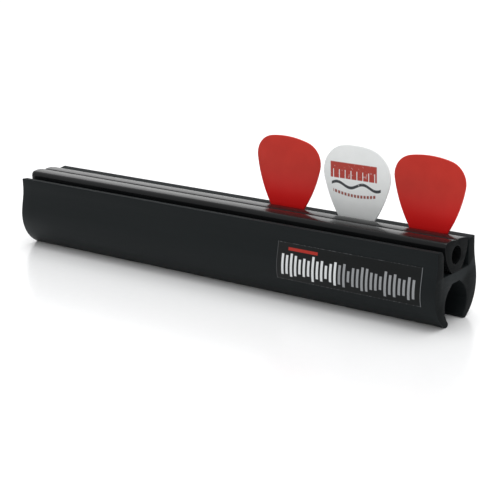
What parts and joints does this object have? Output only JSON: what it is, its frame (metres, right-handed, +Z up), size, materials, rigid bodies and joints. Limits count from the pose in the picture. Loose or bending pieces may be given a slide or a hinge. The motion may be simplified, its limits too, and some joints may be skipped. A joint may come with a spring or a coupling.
{
  "type": "pick holder",
  "caption": "Clip-on guitar pick holder: a long rail that snaps onto a stand tube, with a soft grip insert that holds picks upright along its top.",
  "frame": {"origin": "middle of the base, on the plane the lip bottoms stand on", "axes": "+X along the rail, +Y from the label side to the pick side, +Z up"},
  "size_m": [0.18, 0.0263, 0.051],
  "materials": {
    "rail_plastic": "satin black extruded plastic",
    "insert_rubber": "smooth glossy black soft plastic",
    "label_film": "gloss black printed film",
    "pick_red": "satin red celluloid-like plastic",
    "pick_white": "satin white plastic with a printed mark"
  },
  "bodies": {
    "holder": {"clip_rail": "rail_plastic", "grip_insert": "insert_rubber", "front_label": "label_film"},
    "left_pick": {"pick_left": "pick_red"},
    "middle_pick": {"pick_middle": "pick_white"},
    "right_pick": {"pick_right": "pick_red"}
  },
  "joints": [
    {"name": "left_pick_slide", "type": "slide", "parent": "holder", "child": "left_pick", "axis": [0, 0, 1], "range_m": [-0.002, 0.012]},
    {"name": "middle_pick_slide", "type": "slide", "parent": "holder", "child": "middle_pick", "axis": [0, 0, 1], "range_m": [-0.002, 0.012]},
    {"name": "right_pick_slide", "type": "slide", "parent": "holder", "child": "right_pick", "axis": [0, 0, 1], "range_m": [-0.002, 0.012]}
  ]
}
